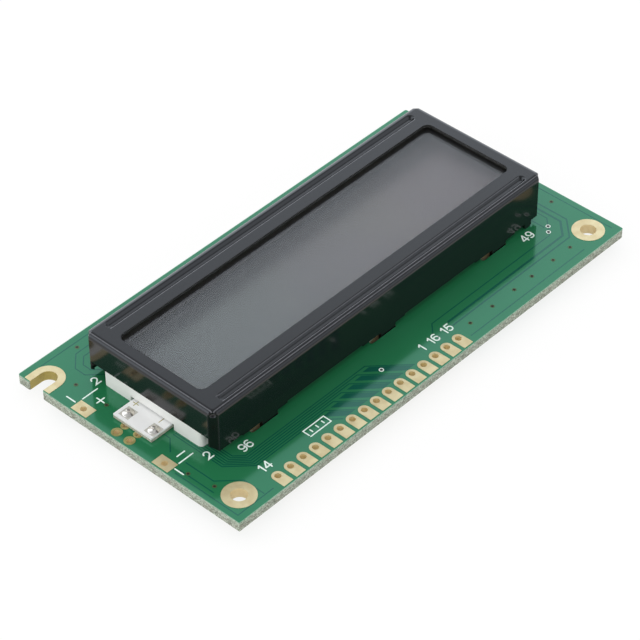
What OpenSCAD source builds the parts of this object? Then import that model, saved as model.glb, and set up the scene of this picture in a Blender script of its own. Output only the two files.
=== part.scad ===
// Character LCD module: a circuit board with a pressed metal bezel that clamps
// the display glass and its backlight.
//
// Millimetres. X runs along the board, Y across it and Z out of the display.
// The origin is on the centre of the board, at the height of the bezel's tab
// ends, which the module stands on. The connector is along the front, at -Y.

/* [Circuit board] */
// Length of the board
board_l = 84; // [80:0.5:90]
// Width of the board
board_w = 44; // [42:0.5:50]
// Thickness of the board
board_t = 1.6; // [1:0.1:2]
// Radius of the three routed corners
board_corner_r = 0.4; // [0.2:0.1:1.5]
// Thickness of the gold-plated lands on the board's faces
land_t = 0.05; // [0.03:0.01:0.08]

/* [Mounting holes] */
// Diameter of the three round holes
hole_d = 2.5; // [2:0.1:3]
// Distance of the hole centres from the ends of the board
hole_inset_x = 3.9; // [3.5:0.1:4.5]
// Distance of the hole centres from the long edges
hole_inset_y = 3.75; // [3.5:0.05:4.5]
// Diameter of the gold lands round the holes
hole_land_d = 5.1; // [4.2:0.1:5.8]
// Width of the open slot that takes the place of the fourth hole
open_slot_w = 2.8; // [2:0.1:3.2]
// Distance from the left edge to the centre of the open slot's round end
open_slot_depth = 2.4; // [1.5:0.1:4]
// Radius of the open slot's mouth
open_slot_mouth_r = 0.2; // [0.1:0.1:0.6]

/* [Connector] */
// Number of solder holes
pin_count = 16; // [14:1:18]
// Pitch of the solder holes
pin_pitch = 2.54; // [2:0.01:2.6]
// Diameter of the solder holes
pin_hole_d = 1; // [0.8:0.05:1.2]
// Distance from the left edge to the first hole
pin_first_x = 10.13; // [9:0.01:12]
// Distance from the front edge to the row of holes
pin_row_y = 2.35; // [2:0.05:2.8]
// Width of the connector lands
pin_land_w = 1.85; // [1.5:0.05:1.9]
// Distance from the board's edge to the lands beside it
land_edge_gap = 0.3; // [0.2:0.05:0.5]

/* [Backlight supply] */
// Size across the board's edge of the two square-cornered supply lands
supply_land_x = 2.1; // [1.6:0.1:2.6]
// Size along the board's edge of the supply lands
supply_land_y = 3.1; // [2:0.1:4]
// Distance between the supply lands
supply_pitch = 16.2; // [14:0.1:20]
// Diameter of the supply holes
supply_hole_d = 1; // [0.8:0.05:1.2]
// Diameter of the round link lands beside the backlight's tongue
link_land_d = 1.7; // [1.4:0.1:1.9]
// Diameter of a link's second land, nearer the tongue
link_inner_d = 1.4; // [1.25:0.05:1.5]
// Diameter of the holes in the link lands
link_hole_d = 0.9; // [0.6:0.05:1]
// Distance from the left edge to the first link hole
link_inset = 1.25; // [1.2:0.05:1.5]
// Distance between the two holes of a link
link_reach = 1.65; // [1.5:0.05:1.7]
// Distance between the two links
link_pitch = 2.54; // [2.2:0.02:3]

/* [Bezel] */
// Distance from the end of the board to the bezel
bezel_end = 6.4; // [6:0.1:7.5]
// Width of the bezel
bezel_w = 25.6; // [24.8:0.1:27]
// Height of the bezel's face above the board
bezel_h = 8.6; // [8:0.1:11]
// Distance of the bezel's centre behind the centre of the board
bezel_y = 1.7; // [1:0.1:2.2]
// Thickness of the sheet
sheet_t = 0.5; // [0.3:0.05:0.6]
// Outer radius of the folds between the face and the walls
fold_r = 0.9; // [0.7:0.05:1]
// Width of the flat that cuts each upright corner, along each wall
corner_cut = 1.1; // [1:0.05:1.3]
// Radius between the face and a corner's flat
corner_fold_r = 0.6; // [0.5:0.05:0.65]
// Radius of the relief notch at the top of each corner
relief_r = 0.6; // [0.5:0.05:0.7]
// Depth of the relief notch in the corner's flat
relief_depth = 0.3; // [0.2:0.05:0.3]
// Distance of the relief notch below the face
relief_drop = 0.7; // [0.65:0.05:0.8]
// Rise of a corner's lower edge towards the end of the bezel
corner_rise = 1; // [0.8:0.05:1.2]
// Width of the face at the ends of the window
rim_end = 2.45; // [2:0.05:3.2]
// Width of the face along the sides of the window
rim_side = 4.5; // [4.3:0.05:4.9]
// Radius of the window's corners
window_r = 1.15; // [0.5:0.05:2]
// Height of the long walls' lower edge above the board
side_lift = 1.05; // [0.9:0.05:1.4]
// Height of the end walls' lower edge above the board
end_lift = 3.5; // [2.5:0.1:4]

/* [Pressed grooves] */
// Width of the groove at the face
groove_w = 1.6; // [1.4:0.05:1.7]
// Width of the groove's floor
groove_floor_w = 0.4; // [0.3:0.05:0.6]
// Depth of the groove, which holds the glass down
groove_depth = 0.5; // [0.4:0.05:0.8]
// Distance from the end of the bezel to the end of the groove
groove_end = 2.7; // [2:0.1:6]
// Distance of the grooves to the right of the bezel's centre
groove_shift = 0.2; // [0:0.05:0.4]
// Distance from the long side of the bezel to the middle of the groove
groove_inset = 1.75; // [1.65:0.05:1.9]

/* [Bezel tabs and feet] */
// Distance between the three tabs on each long side
tab_pitch = 25; // [20:0.5:26]
// Width of the tabs
tab_w = 3.1; // [2.5:0.1:4]
// Length of the tab below the board
tab_drop = 2; // [1.85:0.05:3]
// Angle by which the tab's end is twisted to lock it
tab_twist = 24; // [10:1:40]
// Length of the wall's shoulder at each tab
shoulder_l = 9.1; // [6:0.1:12]
// Height of the shoulder's lower edge above the board
shoulder_lift = 0.75; // [0.5:0.05:0.85]
// Width of the foot near the right end of each long wall
foot_w = 1.5; // [0.8:0.1:2]
// Distance from the right end of the bezel to the middle of the foot
foot_inset = 3.2; // [2.5:0.1:5]
// Length of the slots in the board that the tabs pass through
slot_l = 5.5; // [5:0.1:6.5]
// Distance of the slots to the left of the board's centre line
slot_shift = 0.35; // [0:0.05:0.5]
// Clearance between a tab and the right end of its slot
slot_end_clear = 0.25; // [0.2:0.01:0.4]
// Clearance of a tab in its slot, at each face
slot_face_clear = 0.1; // [0.08:0.01:0.15]

/* [Display glass] */
// Thickness of each of the two glass plates
glass_t = 1.1; // [0.7:0.05:1.3]
// Clearance between the front glass and the bezel's walls
glass_clear = 0.4; // [0.3:0.05:0.5]
// Width of the front glass's contact ledge, past the rear glass
ledge_w = 2.6; // [2.5:0.05:3.2]
// Thickness of the gap between the plates, which the seal closes
cell_gap = 0.05; // [0.02:0.01:0.1]
// Width of the seal
seal_w = 0.8; // [0.4:0.1:1.2]
// Distance from the rear glass's edge to the seal
seal_inset = 0.3; // [0.2:0.1:0.6]
// Thickness of the polarizers
polarizer_t = 0.2; // [0.15:0.01:0.3]
// Margin of the front polarizer round the window
polarizer_margin = 1.1; // [0.5:0.1:1.2]
// Margin of the rear glass round the rear polarizer
polarizer_inset = 0.5; // [0.2:0.1:1]

/* [Elastomer strips] */
// Width of the strips that connect the glass to the board
strip_w = 1.6; // [1.2:0.05:1.65]
// Distance from the front glass's long edge to the strip
strip_inset = 0.25; // [0.1:0.05:0.3]
// Distance from the end of the front glass to the end of the strip
strip_end = 2; // [1:0.1:3]
// Pitch of the contact fingers under each strip
finger_pitch = 1.3; // [1.1:0.02:1.5]
// Width of a contact finger
finger_w = 0.9; // [0.5:0.05:0.95]
// Distance from the strip's long edges to the finger's ends
finger_inset = 0.1; // [0.05:0.05:0.3]

/* [Backlight] */
// Clearance round the pieces that fit inside one another
fit_gap = 0.05; // [0.03:0.01:0.1]
// Clearance between an elastomer strip and the backlight's frame
frame_strip_gap = 0.3; // [0.1:0.05:0.4]
// Thickness of the white frame's walls
frame_wall = 1.5; // [1.2:0.1:2]
// Radius of the frame's upright corners
frame_corner_r = 0.7; // [0.3:0.1:1.2]
// Width of the ledge that carries the diffuser
frame_ledge = 0.6; // [0.4:0.1:0.8]
// Thickness of the diffuser
diffuser_t = 1.2; // [0.8:0.1:1.6]
// Thickness of the backlight's board
light_board_t = 0.75; // [0.6:0.05:1]
// Width of the tongue that brings the supply out
tongue_w = 7.6; // [7.2:0.1:9]
// Distance of the tongue's centre in front of the bezel's centre
tongue_shift = 0.05; // [-0.5:0.05:0.5]
// Distance from the board's left edge to the end of the tongue
tongue_inset = 3; // [2.8:0.1:3.6]
// Clearance round the tongue in the frame's notch
notch_clear = 0.5; // [0.1:0.05:0.6]
// Number of light-emitting chips along the backlight
led_columns = 12; // [6:1:14]
// Number of rows of chips
led_rows = 2; // [1:1:3]
// Length of a chip
led_l = 1.6; // [0.8:0.1:2]
// Width of a chip
led_w = 0.8; // [0.5:0.1:1]
// Height of a chip
led_h = 0.6; // [0.3:0.05:0.8]

/* [Backlight pins] */
// Diameter of the two supply pins
pin_d = 0.6; // [0.4:0.05:0.7]
// Distance between the pins
lead_pitch = 5.08; // [4.6:0.02:5.6]
// Distance of the pins' middle in front of the tongue's middle
lead_shift = 0.25; // [0:0.05:0.4]
// Distance from the end of the tongue to the pins
lead_inset = 1.5; // [1.4:0.05:1.7]
// Diameter of the lands that the pins are soldered to
lead_land_d = 1.5; // [1.3:0.05:1.6]
// Clearance of a pin in the holes that it passes through
lead_clear = 0.1; // [0.05:0.05:0.15]
// Diameter of the solder domes on the tongue
dome_d = 1.9; // [1.6:0.1:2]
// Height of the solder domes
dome_h = 0.7; // [0.4:0.05:0.8]
// Length of a pin below the board
lead_drop = 0.9; // [0.6:0.1:1.2]
// Height of the solder fillet below the board
fillet_h = 0.5; // [0.3:0.1:0.55]

/* [Parts under the board] */
// Diameter of the epoxy drop over the controller chip
controller_d = 14; // [11:0.5:16]
// Diameter of the epoxy drop over the driver chip
driver_d = 12; // [9:0.5:14]
// Height of the epoxy drops
blob_h = 1.5; // [1:0.1:1.7]
// Distance of the controller to the left of the board's centre
controller_x = 13; // [10:0.5:16]
// Distance of the driver to the right of the board's centre
driver_x = 13; // [9:0.5:16]
// Length of a chip resistor over its ends
resistor_l = 2; // [1.6:0.1:2.4]
// Width of a chip resistor
resistor_w = 1.25; // [0.8:0.05:1.4]
// Height of a chip resistor
resistor_h = 0.5; // [0.35:0.05:0.7]
// Length of the resistors' metal ends
resistor_end = 0.4; // [0.2:0.05:0.5]
// Number of chip resistors
resistor_count = 6; // [3:1:6]
// Pitch of the chip resistors
resistor_pitch = 2.3; // [2:0.1:2.5]
// Length of a chip capacitor over its ends
capacitor_l = 3.2; // [2:0.1:3.6]
// Width of a chip capacitor
capacitor_w = 1.6; // [1:0.1:2]
// Height of a chip capacitor
capacitor_h = 1.1; // [0.6:0.1:1.4]
// Length of the capacitors' metal ends
capacitor_end = 0.6; // [0.3:0.1:0.8]
// Distance between the two capacitors
capacitor_pitch = 5; // [3.5:0.5:7]

/* [Hidden] */
$fn = 48;
eps = 0.01;
groove_steps = 8;

// Heights, from the tab ends that the module stands on.
board_bottom = tab_drop;
board_top = board_bottom + board_t;
bezel_top = board_top + bezel_h;
glass_top = bezel_top - groove_depth - sheet_t;
seal_top = glass_top - glass_t;
rear_glass_top = seal_top - cell_gap;
rear_polarizer_top = rear_glass_top - glass_t;
light_top = rear_polarizer_top - polarizer_t - fit_gap;
light_board_bottom = board_top + land_t;
light_board_top = light_board_bottom + light_board_t;

// The board's edges and the rows of holes along them.
left_edge = -board_l / 2;
front_edge = -board_w / 2;
hole_x = board_l / 2 - hole_inset_x;
hole_y = board_w / 2 - hole_inset_y;
open_slot_x = left_edge + open_slot_depth;
pin_x0 = left_edge + pin_first_x;
pin_y = front_edge + pin_row_y;
supply_x = left_edge + land_edge_gap + supply_land_x / 2;

// The bezel's window and walls.
bezel_l = board_l - 2 * bezel_end;
window_l = bezel_l - 2 * rim_end;
window_w = bezel_w - 2 * rim_side;
inner_l = bezel_l - 2 * sheet_t;
inner_w = bezel_w - 2 * sheet_t;
wall_y = (bezel_w - sheet_t) / 2;

// The slots, and the place of a tab in its slot.
slot_x = [for (i = [-1:1]) i * tab_pitch - slot_shift];
slot_w = sheet_t + 2 * slot_face_clear;
tab_shift = slot_l / 2 - slot_end_clear - tab_w / 2;

// The glass and the strips under its two ledges.
glass_l = inner_l - 2 * glass_clear;
glass_w = inner_w - 2 * glass_clear;
rear_glass_w = glass_w - 2 * ledge_w;
strip_l = glass_l - 2 * strip_end;
strip_y = glass_w / 2 - strip_inset - strip_w / 2;
finger_count = floor((strip_l - finger_w) / finger_pitch) + 1;

// The backlight, which fills the bezel between the strips.
frame_l = inner_l - 2 * fit_gap;
frame_w = 2 * (strip_y - strip_w / 2 - frame_strip_gap);
chamber_l = frame_l - 2 * frame_wall;
chamber_w = frame_w - 2 * frame_wall;
tongue_y = bezel_y - tongue_shift;
tongue_end = left_edge + tongue_inset;
lead_x = tongue_end + lead_inset;
lead_hole_d = pin_d + 2 * lead_clear;
lead_y = [for (s = [-1, 1]) tongue_y - lead_shift + s * lead_pitch / 2];

// ---------------------------------------------------------------- shapes

// A rectangle with round corners, centred.
module round_rect(l, w, r) {
    square([l - 2 * r, w], center = true);
    square([l, w - 2 * r], center = true);
    for (x = [-1, 1], y = [-1, 1])
        translate([x * (l / 2 - r), y * (w / 2 - r)]) circle(r);
}

// A slot with round ends, centred and lying along X.
module stadium(l, w) {
    square([l - w, w], center = true);
    for (x = [-1, 1]) translate([x * (l - w) / 2, 0]) circle(d = w);
}

// A block standing on z = 0 with upright corners of radius r and a top edge
// A box standing on z = 0 whose top edges are rolled to a radius and whose
// upright corners are cut off by flats.
module rolled_block(l, w, h, cut, fold, corner_fold) {
    across = (l + w - 2 * cut) / sqrt(2);
    intersection() {
        rolled_bar(l, h, fold, w + 1);
        rotate(90) rolled_bar(w, h, fold, l + 1);
        rotate(45) rolled_bar(across, h, corner_fold, l + w);
        rotate(-45) rolled_bar(across, h, corner_fold, l + w);
    }
}

// A bar along Y whose two top edges are rolled to a radius.
module rolled_bar(w, h, fold, l) {
    rotate([90, 0, 0]) linear_extrude(l, center = true) {
        translate([-w / 2, 0]) square([w, h - fold]);
        translate([-w / 2 + fold, 0]) square([w - 2 * fold, h]);
        for (s = [-1, 1]) translate([s * (w / 2 - fold), h - fold]) circle(fold);
    }
}

// A groove's form, from z = 0 down, with curved sides and round ends.
module groove_form(l, top_w, floor_w, depth) {
    run = l - top_w;
    side = [
        for (i = [0:groove_steps]) let(share = i / groove_steps)
            [(floor_w + (top_w - floor_w) * share) / 2, -depth * (1 + cos(180 * share)) / 2]
    ];
    half = concat([[0, 0], [0, -depth]], side);
    rotate([90, 0, 90]) linear_extrude(run, center = true) {
        polygon(half);
        mirror([1, 0]) polygon(half);
    }
    for (s = [-1, 1]) translate([s * run / 2, 0, 0]) rotate_extrude() polygon(half);
}

// A land on each face of the board. The child is its outline.
module both_faces() {
    for (z = [board_bottom - land_t, board_top])
        translate([0, 0, z]) linear_extrude(land_t) children();
}

// The two lands of a hole of diameter d. The children are their outline.
module hole_lands(d) {
    both_faces() difference() {
        union() children();
        circle(d = d);
    }
}

// A chip part's body between its two metal ends, lying along X under z = 0.
module chip_body(l, w, h, end_l) {
    translate([0, 0, -h / 2]) cube([l - 2 * end_l, w, h], center = true);
}

// The two metal ends of a chip part.
module chip_ends(l, w, h, end_l) {
    for (s = [-1, 1]) translate([s * (l - end_l) / 2, 0, -h / 2])
        cube([end_l, w, h], center = true);
}

// A low dome with its flat face on z = 0, standing up.
module dome(d, h) {
    r = (d * d / 4 + h * h) / (2 * h);
    intersection() {
        translate([0, 0, h - r]) sphere(r, $fn = 96);
        cylinder(h = h, d = d);
    }
}

// ---------------------------------------------------------------- places

// Each round mounting hole.
module at_holes() {
    for (p = [[-1, -1], [1, -1], [1, 1]]) translate([p.x * hole_x, p.y * hole_y, 0]) children();
}

// Each solder hole of the connector.
module at_pins() {
    for (i = [0:pin_count - 1]) translate([pin_x0 + i * pin_pitch, pin_y, 0]) children();
}

// Each supply hole.
module at_supply() {
    for (s = [-1, 1]) translate([supply_x, bezel_y + s * supply_pitch / 2, 0]) children();
}

// The outer hole of each link.
module at_links() {
    for (s = [-1, 1])
        translate([left_edge + link_inset, bezel_y + s * link_pitch / 2, 0]) children();
}

// Each backlight pin.
module at_leads() {
    for (y = lead_y) translate([lead_x, y, 0]) children();
}

// Each of the slots under the long walls.
module at_slots() {
    for (s = [-1, 1], x = slot_x) translate([x, bezel_y + s * wall_y, 0]) children();
}

// ---------------------------------------------------------------- the board

// The open slot's outline, grown by a margin, from its round end to the edge.
module open_slot(margin) {
    translate([open_slot_x, hole_y]) {
        circle(d = open_slot_w + 2 * margin);
        translate([-open_slot_depth - 1, -open_slot_w / 2 - margin])
            square([open_slot_depth + 1, open_slot_w + 2 * margin]);
    }
}

// The rounding of the open slot's two mouth corners.
module open_slot_mouth() {
    r = open_slot_mouth_r;
    for (s = [-1, 1]) translate([left_edge, hole_y + s * open_slot_w / 2]) difference() {
        square(2 * r, center = true);
        translate([r, s * r]) circle(r);
    }
}

module board_outline() {
    round_rect(board_l, board_w, board_corner_r);
    translate([left_edge, front_edge]) square(2 * board_corner_r);
}

module circuit_board() {
    color("seagreen") difference() {
        translate([0, 0, board_bottom]) linear_extrude(board_t) difference() {
            board_outline();
            open_slot(0);
            open_slot_mouth();
            at_slots() stadium(slot_l, slot_w);
        }
        at_holes() board_hole(hole_d);
        at_pins() board_hole(pin_hole_d);
        at_supply() board_hole(supply_hole_d);
        at_links() board_hole(link_hole_d);
        at_links() translate([link_reach, 0, 0]) board_hole(link_hole_d);
        at_leads() board_hole(lead_hole_d);
    }
}

module board_hole(d) {
    translate([0, 0, board_bottom - 1]) cylinder(h = board_t + 2, d = d);
}

module mounting_lands() {
    color("wheat") {
        at_holes() hole_lands(hole_d) circle(d = hole_land_d);
        open_slot_land();
    }
}

// The horseshoe lands of the open slot.
module open_slot_land() {
    both_faces() difference() {
        open_slot_reach((hole_land_d - open_slot_w) / 2);
        open_slot(0);
    }
}

// The slot's outline grown by a margin, short of the board's edge.
module open_slot_reach(margin) {
    stop = left_edge + open_slot_mouth_r;
    intersection() {
        open_slot(margin);
        translate([stop, 0]) square([board_l, board_w]);
    }
}

module connector_lands() {
    color("wheat") at_pins() hole_lands(pin_hole_d) {
        circle(d = pin_land_w);
        translate([-pin_land_w / 2, land_edge_gap - pin_row_y])
            square([pin_land_w, pin_row_y - land_edge_gap]);
    }
}

module supply_lands() {
    color("wheat") at_supply() hole_lands(supply_hole_d)
        square([supply_land_x, supply_land_y], center = true);
}

module link_lands() {
    color("wheat") {
        at_links() link_land();
        at_leads() hole_lands(lead_hole_d) circle(d = lead_land_d);
    }
}

// Two holes with lands that run together.
module link_land() {
    hole_lands(link_hole_d) circle(d = link_land_d);
    translate([link_reach, 0, 0]) hole_lands(link_hole_d) circle(d = link_inner_d);
}

module contact_fingers() {
    finger_l = strip_w - 2 * finger_inset;
    color("wheat") for (s = [-1, 1], i = [0:finger_count - 1])
        translate([(i - (finger_count - 1) / 2) * finger_pitch, bezel_y + s * strip_y,
                   board_top + land_t / 2])
            cube([finger_w, finger_l, land_t], center = true);
}

// ---------------------------------------------------------------- the bezel

module bezel() {
    color("dimgray") translate([0, bezel_y, 0]) {
        difference() {
            union() {
                bezel_shell();
                bezel_grooves(sheet_t);
            }
            bezel_window();
            bezel_grooves(0);
            corner_reliefs();
        }
        for (s = [-1, 1]) bezel_foot(s);
        for (s = [-1, 1], x = slot_x) bezel_tab(x, s);
    }
}

// What slopes the lower edges of the corners up from z = low, seen from the front.
module corner_slopes(low) {
    x = bezel_l / 2 - corner_cut;
    reach = corner_cut + 1;
    rise = corner_rise * reach / corner_cut;
    for (s = [0, 1]) mirror([s, 0])
        polygon([[x, low - 1], [x + reach, low - 1], [x + reach, low + rise], [x, low]]);
}

// The folded sheet: a face with four walls, which are shorter at the ends.
module bezel_shell() {
    low = board_top + side_lift;
    high = board_top + end_lift;
    difference() {
        translate([0, 0, low])
            rolled_block(bezel_l, bezel_w, bezel_top - low,
                         corner_cut, fold_r, corner_fold_r);
        translate([0, 0, low - 1])
            rolled_block(inner_l, inner_w, bezel_top - sheet_t - low + 1,
                         corner_cut - (2 - sqrt(2)) * sheet_t,
                         fold_r - sheet_t, corner_fold_r - sheet_t);
        for (s = [-1, 1]) translate([s * bezel_l / 2, 0, high / 2])
            cube([4 * sheet_t, bezel_w - 2 * corner_cut, high], center = true);
        rotate([90, 0, 0]) linear_extrude(2 * bezel_w, center = true) corner_slopes(low);
    }
}

module bezel_window() {
    translate([0, 0, bezel_top - 2 * sheet_t]) linear_extrude(3 * sheet_t)
        round_rect(window_l, window_w, window_r);
}

// The two grooves, or with a skin the ribs that they raise under the face.
module bezel_grooves(skin) {
    l = bezel_l - 2 * groove_end;
    y = bezel_w / 2 - groove_inset;
    slope = skin * 0.8;
    top = bezel_top + (skin > 0 ? -skin / 2 : eps);
    depth = top - (glass_top + sheet_t - skin);
    for (s = [-1, 1]) translate([groove_shift, s * y, top])
        groove_form(l + 2 * slope, groove_w + 2 * slope, groove_floor_w + 2 * slope, depth);
}

// The notch that is cut at each corner so that the folds don't tear.
module corner_reliefs() {
    inset = corner_cut / 2 - (relief_r - relief_depth) / sqrt(2);
    for (sx = [-1, 1], sy = [-1, 1])
        translate([sx * (bezel_l / 2 - inset), sy * (bezel_w / 2 - inset), bezel_top - relief_drop])
            sphere(relief_r);
}

// The foot of a long wall, which stands on the board and ends in a round.
module bezel_foot(s) {
    r = foot_w / 4;
    translate([bezel_l / 2 - foot_inset, s * wall_y, board_top]) rotate([90, 0, 0])
        linear_extrude(sheet_t, center = true) {
            translate([0, side_lift + eps]) mirror([0, 1])
                translate([-foot_w / 2, 0]) square([foot_w, side_lift + eps - r]);
            hull() for (i = [-1, 1]) translate([i * (foot_w / 2 - r), r]) circle(r);
        }
}

// A tab at one end of its shoulder: it runs down through the slot in the board
// and its end is twisted.
module bezel_tab(x, s) {
    twist_top = board_bottom - 2 * land_t;
    translate([x, s * wall_y, 0]) {
        translate([0, 0, board_top + shoulder_lift + (side_lift - shoulder_lift + eps) / 2])
            cube([shoulder_l, sheet_t, side_lift - shoulder_lift + eps], center = true);
        translate([tab_shift - tab_w / 2, -sheet_t / 2, twist_top])
            cube([tab_w, sheet_t, board_top + side_lift - twist_top]);
        mirror([0, 0, 1]) translate([tab_shift, 0, -twist_top])
            linear_extrude(twist_top, twist = tab_twist, slices = 4, segments = 4)
                square([tab_w, sheet_t], center = true);
    }
}

// ---------------------------------------------------------------- the display

// A plate with its top face at z, centred on the bezel.
module plate(l, w, t, z) {
    translate([-l / 2, bezel_y - w / 2, z - t]) cube([l, w, t]);
}

module front_polarizer() {
    l = window_l + 2 * polarizer_margin;
    w = window_w + 2 * polarizer_margin;
    color("gray") plate(l, w, polarizer_t, glass_top + polarizer_t);
}

module front_glass() {
    color("lightgray") plate(glass_l, glass_w, glass_t, glass_top);
}

module cell_seal() {
    l = glass_l - 2 * seal_inset;
    w = rear_glass_w - 2 * seal_inset;
    color("darkkhaki") difference() {
        plate(l, w, cell_gap, seal_top);
        plate(l - 2 * seal_w, w - 2 * seal_w, 3 * cell_gap, seal_top + cell_gap);
    }
}

module rear_glass() {
    color("lightgray") plate(glass_l, rear_glass_w, glass_t, rear_glass_top);
}

module rear_polarizer() {
    color("silver") plate(glass_l - 2 * polarizer_inset, rear_glass_w - 2 * polarizer_inset,
                          polarizer_t, rear_polarizer_top);
}

// The strip under one ledge; s is the side, -1 at the front.
module elastomer_strip(s) {
    bottom = board_top + land_t;
    color("lightpink") translate([0, s * strip_y, 0])
        plate(strip_l, strip_w, seal_top - bottom, seal_top);
}

module front_elastomer_strip() {
    elastomer_strip(-1);
}

module rear_elastomer_strip() {
    elastomer_strip(1);
}

// ---------------------------------------------------------------- the backlight

// The white frame, open below for its board and above for the diffuser.
module backlight_frame() {
    color("whitesmoke") difference() {
        translate([0, bezel_y, board_top]) linear_extrude(light_top - board_top)
            round_rect(frame_l, frame_w, frame_corner_r);
        plate(chamber_l, chamber_w, bezel_h, light_top + 1);
        plate(chamber_l + 2 * frame_ledge, chamber_w + 2 * frame_ledge, diffuser_t + 1,
              light_top + 1);
        translate([-frame_l / 2 - 1, tongue_y - tongue_w / 2 - notch_clear, board_top - 1])
            cube([frame_wall + 2, tongue_w + 2 * notch_clear,
                  light_board_top + notch_clear / 2 - board_top + 1]);
    }
}

module diffuser() {
    color("white") plate(chamber_l + 2 * (frame_ledge - fit_gap),
                         chamber_w + 2 * (frame_ledge - fit_gap), diffuser_t, light_top);
}

// The backlight's own board, with the tongue that comes out under the end wall.
module backlight_board() {
    l = chamber_l - 2 * fit_gap;
    w = chamber_w - 2 * fit_gap;
    color("linen") difference() {
        union() {
            plate(l, w, light_board_t, light_board_top);
            translate([tongue_end, tongue_y - tongue_w / 2, light_board_bottom])
                cube([-l / 2 - tongue_end + 1, tongue_w, light_board_t]);
        }
        at_leads() translate([0, 0, light_board_bottom - 1])
            cylinder(h = light_board_t + 2, d = lead_hole_d);
    }
}

module led_chips() {
    pitch_x = chamber_l / led_columns;
    pitch_y = chamber_w / led_rows;
    color("lightyellow") for (i = [0:led_columns - 1], j = [0:led_rows - 1])
        translate([(i - (led_columns - 1) / 2) * pitch_x,
                   bezel_y + (j - (led_rows - 1) / 2) * pitch_y, light_board_top + led_h / 2])
            cube([led_l, led_w, led_h], center = true);
}

module backlight_pins() {
    bottom = board_bottom - lead_drop;
    top = light_board_top + dome_h / 2;
    color("silver") at_leads() translate([0, 0, bottom]) cylinder(h = top - bottom, d = pin_d);
}

// A dome on the tongue and a fillet under the board, round each pin.
module backlight_solder() {
    color("gainsboro") at_leads() {
        difference() {
            translate([0, 0, light_board_top]) dome(dome_d, dome_h);
            translate([0, 0, light_board_top - 1]) cylinder(h = 1 + dome_h / 2, d = pin_d);
        }
        difference() {
            translate([0, 0, board_bottom - land_t - fillet_h])
                cylinder(h = fillet_h, d1 = pin_d + 2 * land_t, d2 = lead_land_d);
            cylinder(h = board_top, d = pin_d);
        }
    }
}

// ---------------------------------------------------------------- under the board

// An epoxy drop that hangs under the board at x.
module epoxy_drop(x, d) {
    color("black") translate([x, bezel_y, board_bottom]) mirror([0, 0, 1]) dome(d, blob_h);
}

module controller_drop() {
    epoxy_drop(-controller_x, controller_d);
}

module driver_drop() {
    epoxy_drop(driver_x, driver_d);
}

// Each chip resistor, in a row to the left of the controller.
module at_resistors() {
    for (i = [0:resistor_count - 1])
        translate([-hole_x + hole_land_d / 2 + resistor_l,
                   bezel_y + (i - (resistor_count - 1) / 2) * resistor_pitch, board_bottom])
            children();
}

// Each chip capacitor, to the right of the driver.
module at_capacitors() {
    for (s = [-1, 1])
        translate([hole_x - hole_land_d / 2 - capacitor_l,
                   bezel_y + s * capacitor_pitch / 2, board_bottom])
            children();
}

module resistor_bodies() {
    color("black") at_resistors() chip_body(resistor_l, resistor_w, resistor_h, resistor_end);
}

module resistor_ends() {
    color("silver") at_resistors() chip_ends(resistor_l, resistor_w, resistor_h, resistor_end);
}

module capacitor_bodies() {
    color("tan") at_capacitors()
        chip_body(capacitor_l, capacitor_w, capacitor_h, capacitor_end);
}

module capacitor_ends() {
    color("silver") at_capacitors()
        chip_ends(capacitor_l, capacitor_w, capacitor_h, capacitor_end);
}

circuit_board();
mounting_lands();
connector_lands();
supply_lands();
link_lands();
contact_fingers();
bezel();
front_polarizer();
front_glass();
cell_seal();
rear_glass();
rear_polarizer();
front_elastomer_strip();
rear_elastomer_strip();
backlight_frame();
diffuser();
backlight_board();
led_chips();
backlight_pins();
backlight_solder();
controller_drop();
driver_drop();
resistor_bodies();
resistor_ends();
capacitor_bodies();
capacitor_ends();
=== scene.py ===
"""The looks of the character LCD module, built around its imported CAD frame.

Places are in metres in the frame's own axes: X along the board, Y across it and
Z out of the display. What is printed on the board is a set of thin prisms, and
their outlines are in millimetres.
"""
import math

import bmesh
import bpy
from mathutils import Matrix, Vector


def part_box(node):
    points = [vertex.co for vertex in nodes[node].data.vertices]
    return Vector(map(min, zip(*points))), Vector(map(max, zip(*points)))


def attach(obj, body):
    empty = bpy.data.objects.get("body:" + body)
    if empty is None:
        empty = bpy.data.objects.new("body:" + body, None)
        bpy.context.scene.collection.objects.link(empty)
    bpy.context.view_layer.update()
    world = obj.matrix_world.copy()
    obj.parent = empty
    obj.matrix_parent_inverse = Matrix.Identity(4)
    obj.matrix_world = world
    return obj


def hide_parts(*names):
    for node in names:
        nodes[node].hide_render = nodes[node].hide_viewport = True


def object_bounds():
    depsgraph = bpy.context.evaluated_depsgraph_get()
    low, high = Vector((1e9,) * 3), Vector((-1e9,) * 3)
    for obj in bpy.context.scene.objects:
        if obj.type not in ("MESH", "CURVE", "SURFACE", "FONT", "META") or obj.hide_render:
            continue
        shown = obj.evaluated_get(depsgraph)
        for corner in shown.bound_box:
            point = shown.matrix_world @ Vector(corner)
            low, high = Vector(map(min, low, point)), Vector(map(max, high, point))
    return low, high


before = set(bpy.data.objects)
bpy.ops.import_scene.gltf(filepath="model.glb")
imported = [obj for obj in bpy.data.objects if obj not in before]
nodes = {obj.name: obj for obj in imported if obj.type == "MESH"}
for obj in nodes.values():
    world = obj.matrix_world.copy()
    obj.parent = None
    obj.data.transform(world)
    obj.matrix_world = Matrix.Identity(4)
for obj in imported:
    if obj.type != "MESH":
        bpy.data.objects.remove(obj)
cad_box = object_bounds()

MM = 0.001
BODY = "root"
WHITE = (1, 1, 1, 1)

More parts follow.
